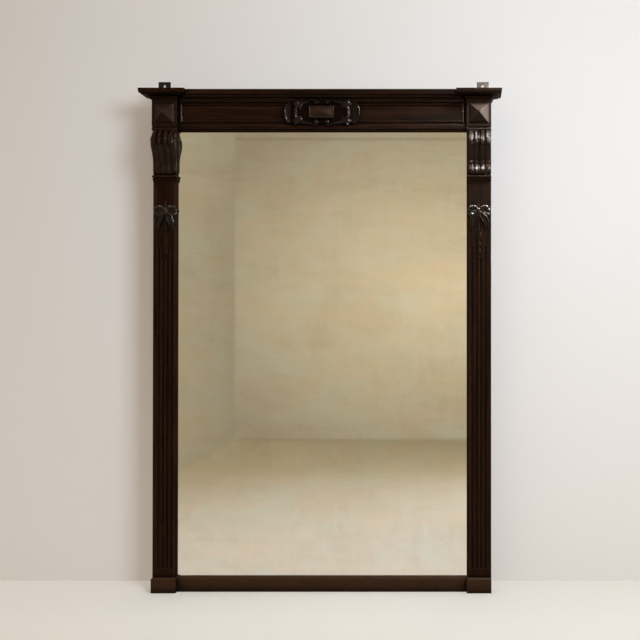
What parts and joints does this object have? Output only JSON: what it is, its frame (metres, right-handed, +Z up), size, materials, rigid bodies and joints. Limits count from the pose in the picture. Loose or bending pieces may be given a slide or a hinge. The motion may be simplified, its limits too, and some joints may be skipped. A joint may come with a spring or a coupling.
{
  "type": "floor mirror",
  "caption": "Tall floor mirror: aged silvered glass in a dark oak frame with fluted pilasters, carved scroll consoles, ribbon bows, a strapwork cartouche and a breaking cornice.",
  "frame": {"origin": "on the floor, under the middle of the object's box", "axes": "+X to the viewer's right, +Y from the front to the back, +Z up"},
  "size_m": [1.508, 0.108, 2.15],
  "materials": {
    "dark_oak": "dark stained and waxed oak, rubbed along the arrises",
    "softwood": "unfinished softwood boards, browned with age",
    "silvered_glass": "old silvering, warm, clouded and spotted towards the edges",
    "iron_plate": "dull forged iron with brown bloom",
    "iron_fastener": "dark iron"
  },
  "bodies": {
    "root": {"backboard_1": "softwood", "backboard_2": "softwood", "backboard_3": "softwood", "backboard_4": "softwood", "backboard_5": "softwood", "backboard_6": "softwood", "backboard_7": "softwood", "backboard_nails": "iron_fastener", "bottom_rail": "dark_oak", "bottom_sight_slip": "dark_oak", "cartouche_backing": "dark_oak", "cartouche_boss": "dark_oak", "cartouche_bottom_scrolls": "dark_oak", "cartouche_strapwork": "dark_oak", "cartouche_top_scrolls": "dark_oak", "cornice_centre": "dark_oak", "cornice_top_board": "dark_oak", "frieze_base_moulding": "dark_oak", "frieze_bottom_bead": "dark_oak", "frieze_left_bead": "dark_oak", "frieze_right_bead": "dark_oak", "frieze_top_bead": "dark_oak", "glass_wedges": "softwood", "hanging_plate_screws": "iron_fastener", "left_block_moulding": "dark_oak", "left_console": "dark_oak", "left_cornice_front": "dark_oak", "left_cornice_inner_return": "dark_oak", "left_cornice_side_return": "dark_oak", "left_diamond_point": "dark_oak", "left_end_block": "dark_oak", "left_hanging_plate": "iron_plate", "left_husk_drop": "dark_oak", "left_necking": "dark_oak", "left_plinth_block": "dark_oak", "left_ribbon_bow": "dark_oak", "left_sight_slip": "dark_oak", "left_stile": "dark_oak", "mirror_glass": "silvered_glass", "right_block_moulding": "dark_oak", "right_console": "dark_oak", "right_cornice_front": "dark_oak", "right_cornice_inner_return": "dark_oak", "right_cornice_side_return": "dark_oak", "right_diamond_point": "dark_oak", "right_end_block": "dark_oak", "right_hanging_plate": "iron_plate", "right_husk_drop": "dark_oak", "right_necking": "dark_oak", "right_plinth_block": "dark_oak", "right_ribbon_bow": "dark_oak", "right_sight_slip": "dark_oak", "right_stile": "dark_oak", "tenon_pegs": "dark_oak", "top_rail": "dark_oak", "top_sight_slip": "dark_oak"}
  },
  "joints": []
}
